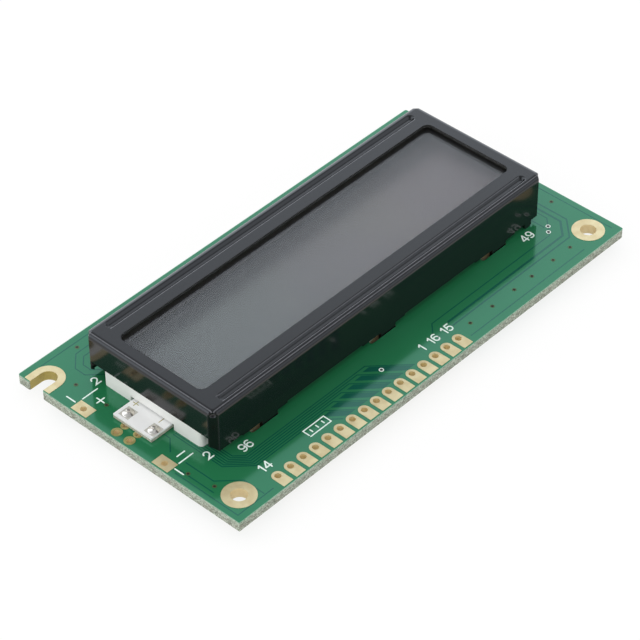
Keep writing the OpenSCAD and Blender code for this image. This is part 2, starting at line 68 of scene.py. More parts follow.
# Levels and edges that the frame gives.
board_low, board_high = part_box("circuit_board")
bezel_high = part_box("bezel")[1]
film_low, film_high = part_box("front_polarizer")
tongue_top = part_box("backlight_board")[1].z
pins_low, pins_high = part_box("backlight_pins")
solder_low, solder_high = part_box("backlight_solder")
controller_low, controller_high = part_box("controller_drop")
driver_low, driver_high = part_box("driver_drop")
pads_low, pads_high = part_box("connector_lands")
board_top = board_high.z
board_bottom = board_low.z


def long_walls():
    """The y of the outer faces of the bezel's front and rear walls.

    The bezel's box can't give them, because its twisted tabs stand out further.
    """
    bezel = nodes["bezel"]
    above_tabs = bezel_high.z - 4 * MM
    places = [bezel.matrix_world @ vertex.co for vertex in bezel.data.vertices]
    rows = [place.y for place in places if place.z > above_tabs]
    return min(rows), max(rows)


wall_front, wall_rear = long_walls()
wall_middle = (wall_front + wall_rear) / 2
wall_reach = (wall_rear - wall_front) / 2
SHEET = 0.5 * MM

# Thickness of what is printed on the board: each layer lies on the one before.
BARE_T = 0.004 * MM
TRACK_T = 0.009 * MM
INK_T = 0.018 * MM
VIA_T = 0.02 * MM
LEAD_T = 0.012 * MM

# Strokes that cross are printed at levels this far apart, so no faces coincide.
CROSSING = 0.0008 * MM


# ---------------------------------------------------------------- materials

def colour(red, green, blue):
    """A colour of 0 to 255 a channel as the linear values that a shader takes."""
    def linear(value):
        share = value / 255
        return share / 12.92 if share <= 0.04045 else ((share + 0.055) / 1.055) ** 2.4
    return (linear(red), linear(green), linear(blue), 1)


class Shading:
    """Short ways to add nodes to a node tree and to link them."""

    def __init__(self, tree):
        self.tree = tree

    def add(self, kind, **settings):
        node = self.tree.nodes.new(kind)
        for key, value in settings.items():
            setattr(node, key, value)
        return node

    def feed(self, socket, source):
        """Links a node's output, or sets a plain value, on a socket."""
        if isinstance(source, bpy.types.NodeSocket):
            self.tree.links.new(source, socket)
        else:
            socket.default_value = source

    def math(self, operation, *values):
        node = self.add("ShaderNodeMath", operation=operation)
        for socket, value in zip(node.inputs, values):
            self.feed(socket, value)
        return node.outputs[0]

    def product(self, first, second):
        """Both values multiplied, which for shares of 0 or 1 means both."""
        return self.math("MULTIPLY", first, second)

    def either(self, first, second):
        return self.math("MAXIMUM", first, second)

    def beyond(self, value, limit):
        return self.math("GREATER_THAN", value, limit)

    def within(self, value, limit):
        return self.math("LESS_THAN", value, limit)

    def size(self, value):
        return self.math("ABSOLUTE", value)

    def apart(self, value, place):
        """How far a value is from a place, either way."""
        return self.size(self.math("SUBTRACT", value, place))

    def ramp(self, value, low, high, at_low=0, at_high=1):
        """at_low below low, at_high above high and smooth between them."""
        node = self.add("ShaderNodeMapRange", interpolation_type="SMOOTHSTEP")
        self.feed(node.inputs["Value"], value)
        node.inputs["From Min"].default_value = low
        node.inputs["From Max"].default_value = high
        node.inputs["To Min"].default_value = at_low
        node.inputs["To Max"].default_value = at_high
        return node.outputs[0]

    def span(self, value, low, high):
        """A value of 0 to 1 as one from low to high."""
        node = self.add("ShaderNodeMapRange")
        self.feed(node.inputs["Value"], value)
        node.inputs["To Min"].default_value = low
        node.inputs["To Max"].default_value = high
        return node.outputs[0]

    def mix(self, share, first, second):
        """A colour between two: the mix node takes colours at inputs 6 and 7."""
        node = self.add("ShaderNodeMix", data_type="RGBA")
        for place, source in ((0, share), (6, first), (7, second)):
            self.feed(node.inputs[place], source)
        return node.outputs[2]

    def blend(self, share, first, second):
        """A number between two."""
        node = self.add("ShaderNodeMix", data_type="FLOAT")
        for place, source in ((0, share), (2, first), (3, second)):
            self.feed(node.inputs[place], source)
        return node.outputs[0]


class Look(Shading):
    """A node material: a Principled shader, and short ways to feed its sockets."""

    def __init__(self, name, base, rough=0.5, metallic=0.0):
        self.material = bpy.data.materials.new(name)
        self.material.use_nodes = True
        super().__init__(self.material.node_tree)
        self.shader = self.tree.nodes["Principled BSDF"]
        self.set("Base Color", base)
        self.set("Roughness", rough)
        self.set("Metallic", metallic)
        self.place = self.add("ShaderNodeTexCoord").outputs["Object"]

    def set(self, socket, value):
        self.shader.inputs[socket].default_value = value

    def to_shader(self, socket, source):
        self.feed(self.shader.inputs[socket], source)

    def axes(self, source=None):
        """The x, y and z of a vector, which is the place unless another is given."""
        node = self.add("ShaderNodeSeparateXYZ")
        self.feed(node.inputs[0], source or self.place)
        return node.outputs

    def upward(self):
        """The z of the surface's direction: 1 on a top, 0 on a wall, -1 under."""
        return self.axes(self.add("ShaderNodeNewGeometry").outputs["Normal"])[2]

    def scaled(self, x, y, z):
        """The place with each axis multiplied, to stretch a texture."""
        node = self.add("ShaderNodeMapping")
        self.feed(node.inputs["Vector"], self.place)
        node.inputs["Scale"].default_value = (x, y, z)
        return node.outputs[0]

    def noise(self, size, detail=2.0, rough=0.5, vector=None):
        """Noise from 0 to 1 whose features are about the given size in metres."""
        node = self.add("ShaderNodeTexNoise")
        self.feed(node.inputs["Vector"], vector or self.place)
        node.inputs["Scale"].default_value = 1 / size
        node.inputs["Detail"].default_value = detail
        node.inputs["Roughness"].default_value = rough
        return node.outputs["Fac"]

    def bump(self, height, depth, strength=1.0):
        """Bends the normal by a height of 0 to 1 over the given depth in metres."""
        node = self.add("ShaderNodeBump")
        node.inputs["Strength"].default_value = strength
        node.inputs["Distance"].default_value = depth
        self.feed(node.inputs["Height"], height)
        self.to_shader("Normal", node.outputs[0])


MASK_GLOSS = 0.86
MASK_SHEEN = (0.47, 1.0, 0.84, 1)

# The plated walls of the mounting holes lie beyond this x, at both ends, and
# those of the open slot left of and behind its own two limits.
MOUNTS_FROM_X = 36.5 * MM
OPEN_SLOT_X, OPEN_SLOT_Y = -36.6 * MM, 15.5 * MM


def board_look():
    """Glossy green mask on the faces, bare laminate at the rim, plated holes."""
    look = Look("solder_mask_board", colour(38, 118, 76), rough=0.09)
    look.set("Specular IOR Level", MASK_GLOSS)
    x, y, z = look.axes()
    face = look.beyond(look.size(look.upward()), 0.5)

    def edge(width):
        by_end = look.beyond(look.size(x), board_high.x - width)
        return look.either(by_end, look.beyond(look.size(y), board_high.y - width))

    slot_row = wall_reach - SHEET / 2
    at_wall = look.within(look.apart(look.apart(y, wall_middle), slot_row), 1 * MM)
    slot = look.product(at_wall, look.within(look.size(x), bezel_high.x - 4 * MM))
    rim = look.either(edge(0.2 * MM), slot)

    cloud = look.noise(9 * MM)
    mask = look.mix(cloud, colour(31, 108, 67), colour(40, 117, 76))
    mask = look.mix(edge(0.09 * MM), mask, colour(118, 166, 136))

    fibre = look.noise(0.26 * MM, 4, 0.6, look.scaled(1, 1, 1.9))
    ply = look.noise(0.5 * MM, 3, 0.6, look.scaled(0.5, 0.5, 3))
    laminate = look.mix(look.ramp(fibre, 0.4, 0.58), colour(112, 120, 104), colour(188, 197, 180))
    laminate = look.mix(slot, laminate, colour(128, 108, 70))
    height = look.ramp(z, board_top - 0.7 * MM, board_top - 0.3 * MM)
    streak = look.mix(height, colour(128, 122, 108), colour(160, 184, 158))
    laminate = look.mix(look.ramp(ply, 0.5, 0.62), laminate, streak)

    plating = look.mix(look.noise(0.4 * MM, 3), colour(224, 202, 140), colour(246, 226, 172))
    plating = look.mix(look.beyond(look.size(x), MOUNTS_FROM_X), plating, colour(240, 220, 172))
    open_slot = look.product(look.within(x, OPEN_SLOT_X), look.beyond(y, OPEN_SLOT_Y))
    plating = look.mix(open_slot, plating, colour(176, 158, 74))

    wall = look.mix(rim, plating, laminate)
    look.to_shader("Base Color", look.mix(face, wall, mask))
    look.to_shader("Specular Tint", look.mix(face, WHITE, MASK_SHEEN))
    bored = look.product(look.math("SUBTRACT", 1.0, face), look.math("SUBTRACT", 1.0, rim))
    look.to_shader("Metallic", look.product(bored, 0.25))
    wall_rough = look.span(rim, 0.4, 0.85)
    look.to_shader("Roughness", look.blend(face, wall_rough, look.span(cloud, 0.1, 0.15)))
    weave = look.product(look.noise(0.35 * MM), 0.012)
    look.bump(look.blend(face, fibre, weave), 0.12 * MM, 0.8)
    return look.material


def bare_mask_look():
    """The mask where there is no copper under it: darker and bluer."""
    look = Look("mask_over_laminate", colour(16, 90, 68), rough=0.12)
    look.set("Specular IOR Level", MASK_GLOSS)
    look.set("Specular Tint", MASK_SHEEN)
    cloud = look.noise(5 * MM)
    look.to_shader("Base Color", look.mix(cloud, colour(4, 76, 58), colour(12, 88, 72)))
    look.bump(look.noise(0.35 * MM), 0.0015 * MM)
    return look.material


def ink_look():
    """White legend ink with slightly uneven edges and thickness."""
    look = Look("legend_ink", colour(236, 238, 236), rough=0.5)
    patch = look.noise(0.25 * MM, 3)
    cover = look.ramp(patch, 0.25, 0.55)
    look.to_shader("Base Color", look.mix(cover, colour(214, 240, 228), colour(242, 255, 249)))
    look.bump(patch, 0.004 * MM)
    return look.material


def gold_look(name, pale, deep, rough=0.32, metallic=0.55):
    """Plated gold, a little patchy, as matt as a solder land."""
    look = Look(name, pale, rough=rough, metallic=metallic)
    patch = look.noise(1.3 * MM, 3)
    look.to_shader("Base Color", look.mix(look.ramp(patch, 0.3, 0.75), pale, deep))
    look.to_shader("Roughness", look.span(patch, rough - 0.05, rough + 0.08))
    look.bump(look.noise(0.12 * MM), 0.003 * MM)
    return look.material


# Where highlights are painted as pale lines on the black paint: along the fold of the face, on the
# lips of the two long grooves, measured in from the walls, and down the cuts at the corners.
FOLD_IN = 0.52 * MM
FRONT_OUTER_LIP = wall_front + 1.02 * MM
FRONT_INNER_LIP = wall_front + 2.35 * MM
REAR_INNER_LIP = wall_rear - 2.51 * MM
CUT_IN = 1.1 * MM


def paint_look():
    """The bezel's black paint: glossy, with a faint orange-peel surface, and painted highlights as
    pale lines.
    """
    look = Look("black_bezel_paint", colour(15, 15, 16), rough=0.13)
    x, y, z = look.axes()
    from_end = look.math("SUBTRACT", bezel_high.x, look.size(x))
    from_side = look.math("SUBTRACT", wall_reach, look.apart(y, wall_middle))
    inward = look.math("MINIMUM", from_end, from_side)

    def line(distance, place, half_width):
        return look.ramp(look.apart(distance, place), half_width, 0)

    def cut(across, outward):
        return look.product(line(across, CUT_IN, 0.2 * MM), look.within(outward, 0.2 * MM))

    # The pale lines on the folds, the groove lips and the corner cuts are painted highlights.
    lips = look.either(line(y, FRONT_OUTER_LIP, 0.12 * MM), line(y, REAR_INNER_LIP, 0.14 * MM))
    lips = look.either(lips, look.product(line(y, FRONT_INNER_LIP, 0.1 * MM), 0.5))
    along_groove = look.within(look.size(x), bezel_high.x - 3 * MM)
    painted_highlight = look.either(line(inward, FOLD_IN, 0.13 * MM), look.product(lips, along_groove))
    painted_highlight = look.product(painted_highlight, look.beyond(z, bezel_high.z - SHEET))
    cuts = look.either(cut(from_side, from_end), cut(from_end, from_side))
    painted_highlight = look.either(painted_highlight, look.product(cuts, 0.1))
    painted_highlight = look.product(painted_highlight, look.span(look.noise(0.3 * MM), 0.4, 1.2))

    dust = look.noise(0.08 * MM, 1)
    coat = look.mix(look.ramp(dust, 0.35, 0.7), colour(13, 13, 14), colour(18, 18, 20))
    upright = look.within(look.size(look.upward()), 0.5)
    window_edge = look.product(look.beyond(inward, 2 * MM), upright)
    coat = look.mix(window_edge, coat, colour(52, 53, 52))
    look.to_shader("Base Color", look.mix(painted_highlight, coat, colour(112, 113, 118)))
    look.to_shader("Roughness", look.span(look.noise(7 * MM), 0.1, 0.16))
    peel = look.product(look.noise(0.5 * MM), 0.8)
    look.bump(look.math("ADD", peel, look.product(dust, 0.2)), 0.0025 * MM)
    return look.material


def clear_look(name, side, face_share, ior, rough, border=False):
    """A clear layer: its faces let light through, its sides show their colour.

    A border is the dark seal that hides what lies round the edge of the window.
    """
    look = Look(name, side, rough=rough)
    look.set("IOR", ior)
    facing = look.upward()
    side_on = look.within(look.size(facing), 0.5)
    duller = [channel * 0.9 for channel in side[:3]] + [1]
    tint = look.mix(look.noise(3 * MM), side, duller)
    tint = look.mix(side_on, (0.02, 0.02, 0.02, 1), tint)
    share = look.math("ADD", side_on, look.product(look.beyond(facing, 0.5), face_share))
    if border:
        x, y = look.axes()[:2]
        half_depth = (film_high.y - film_low.y) / 2
        by_end = look.beyond(look.size(x), film_high.x - 0.1 * MM)
        by_side = look.beyond(look.apart(y, wall_middle), half_depth - 0.6 * MM)
        rim = look.either(by_end, by_side)
        tint = look.mix(rim, tint, colour(74, 74, 70))
        share = look.either(share, rim)
    look.to_shader("Alpha", share)
    look.to_shader("Base Color", tint)
    look.bump(look.noise(1.2 * MM), 0.0006 * MM)
    return look.material


def cell_look():
    """The grey back of the cell: its tint drifts along the window.

    The rim of the bezel keeps light from its right end and, more, its rear.
    """
    look = Look("grey_polarizer", colour(139, 141, 144), rough=0.6)
    x, y = look.axes()[:2]
    drift = look.noise(22 * MM, 1, 0.4, look.scaled(1, 0.6, 1))
    wander = look.span(drift, -12 * MM, 12 * MM)
    along = look.ramp(look.math("ADD", x, wander), film_low.x, film_high.x)
    cool = look.mix(look.ramp(drift, 0.35, 0.65), colour(100, 108, 108), colour(101, 103, 109))
    warm = look.mix(look.ramp(drift, 0.4, 0.6), colour(115, 109, 107), colour(112, 106, 109))
    rear = look.ramp(y, film_high.y - 5.8 * MM, film_high.y - 2.8 * MM)
    right = look.product(look.ramp(x, film_high.x - 2.65 * MM, film_high.x - 1.05 * MM), 0.6)
    far_rear = look.product(look.ramp(y, film_high.y - 1.9 * MM, film_high.y - 0.8 * MM), 0.3)
    shade = look.math("ADD", look.product(look.either(rear, right), 0.6), far_rear)
    look.to_shader("Base Color", look.mix(shade, look.mix(along, cool, warm), colour(46, 47, 50)))
    return look.material


def plastic_look(name, light, dark, rough=0.45, grain_size=0.2 * MM):
    """Moulded plastic, nearly plain, with a fine grain."""
    look = Look(name, light, rough=rough)
    grain = look.noise(grain_size)
    look.to_shader("Base Color", look.mix(look.noise(4 * MM), dark, light))
    look.to_shader("Roughness", look.span(grain, rough - 0.06, rough + 0.06))
    look.bump(grain, 0.003 * MM)
    return look.material


def light_board_look():
    """The backlight's board: white lacquer over a grey-brown laminate."""
    look = Look("backlight_lacquer", colour(232, 232, 232), rough=0.28)
    z = look.axes()[2]
    core_top = tongue_top - 0.3 * MM
    upper = look.ramp(z, core_top, core_top + 0.05 * MM)
    fibre = look.noise(0.25 * MM, 4, 0.6, look.scaled(1, 1, 3))
    core = look.mix(look.ramp(fibre, 0.35, 0.65), colour(152, 152, 136), colour(206, 204, 190))
    lacquer = look.mix(look.noise(3 * MM), colour(240, 241, 242), colour(247, 247, 246))
    look.to_shader("Base Color", look.mix(upper, core, lacquer))
    look.to_shader("Roughness", look.span(upper, 0.7, 0.28))
    look.bump(look.noise(0.3 * MM), 0.004 * MM)
    return look.material


def solder_look():
    """Bright solder with a few cooling ripples."""
    look = Look("bright_solder", colour(222, 222, 222), rough=0.3, metallic=0.85)
    ripple = look.noise(0.3 * MM)
    look.to_shader("Base Color", look.mix(ripple, colour(196, 190, 180), colour(240, 232, 222)))
    look.to_shader("Roughness", look.span(ripple, 0.15, 0.28))
    look.bump(ripple, 0.03 * MM, 0.6)
    return look.material


def elastomer_look():
    """Silicone with the fine dark layers that carry the contacts across."""
    look = Look("zebra_elastomer", colour(214, 170, 168), rough=0.6)
    x = look.axes()[0]
    layer_pitch = 0.18 * MM
    layers = look.math("SINE", look.product(x, 2 * math.pi / layer_pitch))
    stripe = look.ramp(layers, 0.1, 0.5)
    look.to_shader("Base Color", look.mix(stripe, colour(222, 182, 178), colour(52, 48, 50)))
    look.bump(look.noise(0.15 * MM), 0.01 * MM)
    return look.material


def epoxy_look():
    """Black epoxy with a soft shine and small dimples."""
    look = Look("black_epoxy", colour(22, 22, 24), rough=0.28)
    swirl = look.noise(2.5 * MM, 3)
    dimples = look.product(look.noise(0.25 * MM), 0.2)
    look.to_shader("Base Color", look.mix(swirl, colour(16, 16, 18), colour(34, 34, 36)))
    look.to_shader("Roughness", look.span(swirl, 0.2, 0.42))
    look.bump(look.math("ADD", look.product(swirl, 0.8), dimples), 0.06 * MM, 0.5)
    return look.material


GREEN_BOARD = board_look()
BARE = bare_mask_look()
INK = ink_look()
GOLD = gold_look("land_gold", colour(222, 208, 164), colour(210, 192, 146), metallic=0.5)
DULL_GOLD = gold_look("tinted_gold", colour(192, 184, 122), colour(154, 142, 82), rough=0.38)
BRONZE = gold_look("via_ring", colour(84, 104, 58), colour(60, 84, 46), rough=0.3, metallic=0.2)
PAINT = paint_look()
FILM = clear_look("polarizer_film", colour(96, 100, 104), 0.3, 2.3, 0.08)
CELL = cell_look()
WHITE_PLASTIC = plastic_look("white_moulding", colour(238, 239, 236), colour(230, 232, 228))
DIFFUSER = plastic_look("milky_diffuser", colour(236, 238, 236), colour(228, 231, 230), rough=0.35)
LIGHT_BOARD = light_board_look()
LEAD_PAD = plastic_look("tinned_pad", colour(206, 205, 198), colour(192, 192, 182), rough=0.3)
SOLDER = solder_look()
GLASS = clear_look("display_glass", colour(176, 200, 190), 0.0, 1.5, 0.06, border=True)
ELASTOMER = elastomer_look()
EPOXY = epoxy_look()
SEAL = plastic_look("cell_seal_resin", colour(66, 66, 68), colour(54, 54, 56), rough=0.5)
PHOSPHOR = plastic_look("led_phosphor", colour(244, 232, 150), colour(236, 222, 132), rough=0.35)
RESISTOR = plastic_look("resistor_glaze", colour(30, 30, 34), colour(20, 20, 22), 0.3, 0.1 * MM)
CAPACITOR = plastic_look("capacitor_ceramic", colour(178, 142, 98), colour(160, 124, 84), rough=0.4)
HOLE_DARK = plastic_look("hole_shadow", colour(34, 30, 22), colour(24, 22, 16), rough=0.6)

NODE_LOOKS = {
    "circuit_board": GREEN_BOARD,
    "mounting_lands": GOLD,
    "connector_lands": GOLD,
    "supply_lands": GOLD,
    "link_lands": DULL_GOLD,
    "contact_fingers": GOLD,
    "bezel": PAINT,
    "front_polarizer": FILM,
    "front_glass": GLASS,
    "cell_seal": SEAL,
    "rear_glass": GLASS,
    "rear_polarizer": CELL,
    "front_elastomer_strip": ELASTOMER,
    "rear_elastomer_strip": ELASTOMER,
    "backlight_frame": WHITE_PLASTIC,
    "diffuser": DIFFUSER,
    "backlight_board": LIGHT_BOARD,
    "led_chips": PHOSPHOR,
    "backlight_pins": SOLDER,
    "backlight_solder": SOLDER,
    "controller_drop": EPOXY,
    "driver_drop": EPOXY,
    "resistor_bodies": RESISTOR,
    "resistor_ends": SOLDER,
    "capacitor_bodies": CAPACITOR,
    "capacitor_ends": SOLDER,
}
for node_name, material in NODE_LOOKS.items():
    node_mesh = nodes[node_name].data
    node_mesh.materials.clear()
    node_mesh.materials.append(material)


# ---------------------------------------------------------------- flat print

def arc(x, y, rx, ry, start, end, steps):
    """Points along part of an ellipse, from start to end in degrees."""
    angles = [math.radians(start + (end - start) * i / steps) for i in range(steps + 1)]
    return [(x + rx * math.cos(a), y + ry * math.sin(a)) for a in angles]


def oblong(x, y, half_x, half_y):
    """The outline of an oblong round its middle."""
    return [
        (x - half_x, y - half_y), (x + half_x, y - half_y),
        (x + half_x, y + half_y), (x - half_x, y + half_y),
    ]


def round_end(centre, start, radius):
    """The points inside a half turn about centre, counter-clockwise from start."""
    steps = 6
    angles = [start + math.pi * i / steps for i in range(1, steps)]
    return [(centre[0] + radius * math.cos(a), centre[1] + radius * math.sin(a)) for a in angles]


def stroke(points, width, rounded=True):
    """The outline of a line of the given width along points, with mitred bends."""
    half = width / 2
    sharpest = 0.3
    flow = []
    for (ax, ay), (bx, by) in zip(points, points[1:]):
        length = math.hypot(bx - ax, by - ay)
        flow.append(((bx - ax) / length, (by - ay) / length))
    left, right = [], []
    for i, (x, y) in enumerate(points):
        before, after = flow[max(i - 1, 0)], flow[min(i, len(flow) - 1)]
        nx, ny = -(before[1] + after[1]), before[0] + after[0]
        length = math.hypot(nx, ny)
        nx, ny = nx / length, ny / length
        reach = half / max(sharpest, ny * after[0] - nx * after[1])
        left.append((x + nx * reach, y + ny * reach))
        right.append((x - nx * reach, y - ny * reach))
    far_cap, near_cap = [], []
    if rounded:
        far_cap = round_end(points[-1], math.atan2(-flow[-1][0], flow[-1][1]), half)
        near_cap = round_end(points[0], math.atan2(flow[0][0], -flow[0][1]), half)
    return right + far_cap + left[::-1] + near_cap


def sign(x, y, arm, width, plus):
    """The strokes of a plus or a minus round its middle."""
    strokes = [stroke([(x - arm, y), (x + arm, y)], width)]
    if plus:
        strokes.append(stroke([(x, y - arm), (x, y + arm)], width))
    return strokes


def add_prism(mesh, outline, low, high):
    """Adds a prism over an outline, which runs counter-clockwise."""
    bottom = [mesh.verts.new((x, y, low)) for x, y in outline]
    top = [mesh.verts.new((x, y, high)) for x, y in outline]
    mesh.faces.new(top)
    mesh.faces.new(bottom[::-1])
    for i in range(len(outline)):
        j = (i + 1) % len(outline)
        mesh.faces.new((bottom[i], bottom[j], top[j], top[i]))


def add_lathe(mesh, x, y, profile, steps, closed=False):
    """Adds a turned form about a vertical axis from (radius, height) points.

    A profile that isn't closed has a flat cap at each end.
    """
    turns = [2 * math.pi * i / steps for i in range(steps)]
    rings = []
    for radius, height in profile:
        circle = [(x + radius * math.cos(a), y + radius * math.sin(a)) for a in turns]
        rings.append([mesh.verts.new((px, py, height)) for px, py in circle])
    pairs = list(zip(rings, rings[1:]))
    if closed:
        pairs.append((rings[-1], rings[0]))
    for lower, upper in pairs:
        for i in range(steps):
            j = (i + 1) % steps
            mesh.faces.new((lower[i], lower[j], upper[j], upper[i]))
    if not closed:
        mesh.faces.new(rings[0][::-1])
        mesh.faces.new(rings[-1])


def make_piece(name, mesh, material, smooth=False):
    """Turns a bmesh into a piece that rides with the module."""
    bmesh.ops.recalc_face_normals(mesh, faces=mesh.faces)
    data = bpy.data.meshes.new(name)
    mesh.to_mesh(data)
    mesh.free()
    data.materials.append(material)
    for face in data.polygons:
        face.use_smooth = smooth
    piece = bpy.data.objects.new(name, data)
    bpy.context.scene.collection.objects.link(piece)
    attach(piece, BODY)
    return piece


def print_piece(name, outlines, thickness, material, level=board_top, below=False):
    """Prints outlines at a level, which is the board's top, or under the board."""
    mesh = bmesh.new()
    low, high = level, level + thickness
    if below:
        low, high = board_bottom - thickness, board_bottom
    for order, outline in enumerate(outlines):
        lift = order % 3 * CROSSING
        down, up = (lift, 0) if below else (0, lift)
        add_prism(mesh, [(x * MM, y * MM) for x, y in outline], low - down, high + up)
    make_piece(name, mesh, material)


# ---------------------------------------------------------------- the board's print

# Each digit as strokes in a cell 1 high, with its left foot at 0, 0.
DIGITS = {
    "1": [[(0.1, 0.78), (0.34, 0.98)], [(0.36, 1), (0.36, 0)]],
    "2": [arc(0.34, 0.68, 0.32, 0.32, 170, -38, 10) + [(0.02, 0), (0.7, 0)]],
    "4": [[(0.58, 0), (0.58, 1)], [(0.55, 1), (0.04, 0.3)], [(0.03, 0.27), (0.76, 0.27)]],
    "5": [[(0.64, 1), (0.16, 1), (0.08, 0.5)] + arc(0.34, 0.32, 0.32, 0.32, 120, -145, 12)],
    "6": [
        arc(0.35, 0.31, 0.31, 0.31, 0, 360, 16),
        [(0.04, 0.31)] + arc(0.39, 0.63, 0.35, 0.37, 180, 52, 9),
    ],
    "9": [
        arc(0.35, 0.69, 0.31, 0.31, 0, 360, 16),
        [(0.66, 0.69)] + arc(0.31, 0.37, 0.35, 0.37, 0, -128, 9),
    ],
}
DIGIT_ADVANCE = {"1": 0.66, "4": 0.98}
USUAL_ADVANCE = 0.84

LEGEND_LINE = 0.23
BAR_LINE = 0.22
NUMBER_HEIGHT = 1.62
SIGN_ARM = 0.72

# Pin and contact numbers, each by the lower left corner of its first digit.
NUMBERS = (
    ("14", -32.85, -17.85), ("1", 0.75, -17.85), ("16", 2.65, -17.85), ("15", 5.6, -17.85),
    ("96", -31.75, -13.05), ("49", 29.35, -13.2), ("2", -36.05, 12.0), ("2", -36.05, -10.45),
)
SIGN_X, PLUS_Y, MINUS_Y = -37.8, 9.3, -6.7

# The bars beside the supply lands, from end to end.
SUPPLY_BARS = (
    ((-39.3, 11.4), (-36.4, 11.4)), ((-39.3, -7.85), (-36.6, -7.85)),
    ((-40.45, 11.75), (-40.45, 13.45)), ((-40.45, -8.2), (-40.45, -9.85)),
)

# A small socket that stands for the connector: a box with three contacts.
SOCKET_LEFT, SOCKET_RIGHT, SOCKET_LOW, SOCKET_HIGH = -23.1, -18.9, -17.7, -16.2
SOCKET_LINE = 0.2
SOCKET_CONTACTS = (-22.2, -21.0, -19.8)


def number(text, x, y):
    """The strokes of a number whose lower left corner is at x, y."""
    size = NUMBER_HEIGHT - LEGEND_LINE
    foot_x, foot_y = x + LEGEND_LINE / 2, y + LEGEND_LINE / 2
    strokes = []
    for digit in text:
        for line in DIGITS[digit]:
            points = [(foot_x + px * size, foot_y + py * size) for px, py in line]
            strokes.append(stroke(points, LEGEND_LINE))
        foot_x += DIGIT_ADVANCE.get(digit, USUAL_ADVANCE) * size
    return strokes


def socket_mark():
    """The strokes of the socket, whose box leaves a small gap at its start."""
    gap = 0.3
    strokes = [stroke([
        (SOCKET_LEFT, SOCKET_LOW), (SOCKET_RIGHT, SOCKET_LOW), (SOCKET_RIGHT, SOCKET_HIGH),
        (SOCKET_LEFT, SOCKET_HIGH), (SOCKET_LEFT, SOCKET_LOW + gap),
    ], SOCKET_LINE)]
    for x in SOCKET_CONTACTS:
        strokes.append(stroke([(x, SOCKET_LOW + 0.5), (x, SOCKET_HIGH - 0.5)], BAR_LINE))
    return strokes


def legend():
    """White ink: the numbers of the pins, marks of the supply, and their bars."""
    strokes = []
    for text, x, y in NUMBERS:
        strokes += number(text, x, y)
    strokes += sign(SIGN_X, PLUS_Y, SIGN_ARM, LEGEND_LINE, plus=True)
    strokes += sign(SIGN_X, MINUS_Y, SIGN_ARM, LEGEND_LINE, plus=False)
    strokes += [stroke(bar, BAR_LINE) for bar in SUPPLY_BARS]
    print_piece("legend", strokes + socket_mark(), INK_T, INK)


PAD_PITCH = 2.54
PAD_COUNT = 16
pad_middle = (pads_low.x + pads_high.x) / 2 / MM
pad_x = [pad_middle + (i - (PAD_COUNT - 1) / 2) * PAD_PITCH for i in range(PAD_COUNT)]
pad_top = pads_high.y / MM

# A bundle of fine gaps runs from the left of the bezel to these pads, and each
# gap and bare area ends a little behind its pad and to the left of its middle.
BUNDLE_PADS = range(6, 13)
BUNDLE_PITCH = 0.41
GAP_END = 0.1
BESIDE_PAD = 0.75

# Narrow gaps in the copper, and two wider ones, as the points that each runs by.
GAP = 0.17
NARROW_GAPS = (
    ((-31, 10.2), (-35.6, 14.8), (-35.6, 16.8), (-33.4, 19), (31, 19), (34, 16)),
    ((-31, 11.7), (-34.3, 15), (-34.3, 16.5), (-33, 17.8), (30.4, 17.8), (33, 15.2)),
    ((-38.55, -8.4), (-38.55, -13.8), (-35.6, -16.75), (-35.6, -20.6)),
    ((-41, -8.8), (-41, -20.8), (-34, -20.8)),
    ((-40.15, -8.8), (-40.15, -15.4)),
    ((-36.6, 6.4), (-36.6, -3.4), (-38.55, -5.4)),
    ((4.7, -16.1), (6.1, -14.7), (33.2, -14.7), (36.1, -11.8), (36.1, 12)),
    ((34.1, -10.5), (34.1, -13)),
    ((40.9, -20.6), (40.9, 20.8), (-38.6, 20.8)),
    ((8, -20.6), (34.2, -20.6)),
)
WIDE_GAPS = (
    (0.36, ((7.9, -16.2), (34.5, -16.2), (36.9, -13.8), (36.9, 13))),
    (0.26, ((7.9, -17.2), (34.9, -17.2), (37.9, -14.2), (37.9, 13))),
)


def bundle_gaps():
    """The gaps of the bundle: down, slantwise, along, slantwise and to a pad."""
    first_x, start_y, first_y, first_corner, corner_step = -35.75, -3.2, -16.05, -32.4, 0.07
    lines = []
    for i, pad in enumerate(BUNDLE_PADS):
        x = first_x + BUNDLE_PITCH * i
        y = first_y + BUNDLE_PITCH * i
        corner_x = first_corner + corner_step * i
        pad_edge = pad_x[pad] - BESIDE_PAD
        lines.append([
            (x, start_y), (x, y + corner_x - x), (corner_x, y),
            (pad_edge - (y - pad_top), y), (pad_edge, pad_top + GAP_END),
        ])
    return lines


def board_gaps():
    """The gaps in the copper, where the mask looks darker."""
    outlines = [stroke(line, GAP, False) for line in [*NARROW_GAPS, *bundle_gaps()]]
    outlines += [stroke(line, width, False) for width, line in WIDE_GAPS]
    print_piece("copper_gaps", outlines, TRACK_T, BARE)


def bare_areas():
    """The wider areas without copper between the tracks that lead to the pads."""
    first_top, from_pad, to_pad = -16.2, 0.1, 1.0
    low = pad_top + GAP_END
    outlines = []
    for i, pad in enumerate(BUNDLE_PADS[:-1]):
        left, right = pad_x[pad] + from_pad, pad_x[pad + 1] - to_pad
        top = first_top + BUNDLE_PITCH * i
        run = top - pad_top
        outlines.append([(left, low), (right, low), (right - run, top), (left - run, top)])
    print_piece("bare_areas", outlines, BARE_T, BARE)


VIAS = (
    (-32.3, 19.9), (-37.9, 14.25), (-37.9, 8), (-39.9, -10.2), (-39.2, -14.6), (39.6, -9.85),
    (10, -18.75), (15, -18.75), (20, -18.75), (24.1, -18.75), (29.1, -18.75), (33.1, -18.75),
    (39.6, 9.85), (20, 20), (-10, 20), (5, 20),
)
RINGED_VIAS = ((34.7, -13.2), (33.7, -14.1), (-6.25, -15.85))
VIA_R, VIA_RING_R = 0.2, 0.34
RINGED_VIA_R, INK_RING_R = 0.24, 0.39
VIA_STEPS = 20


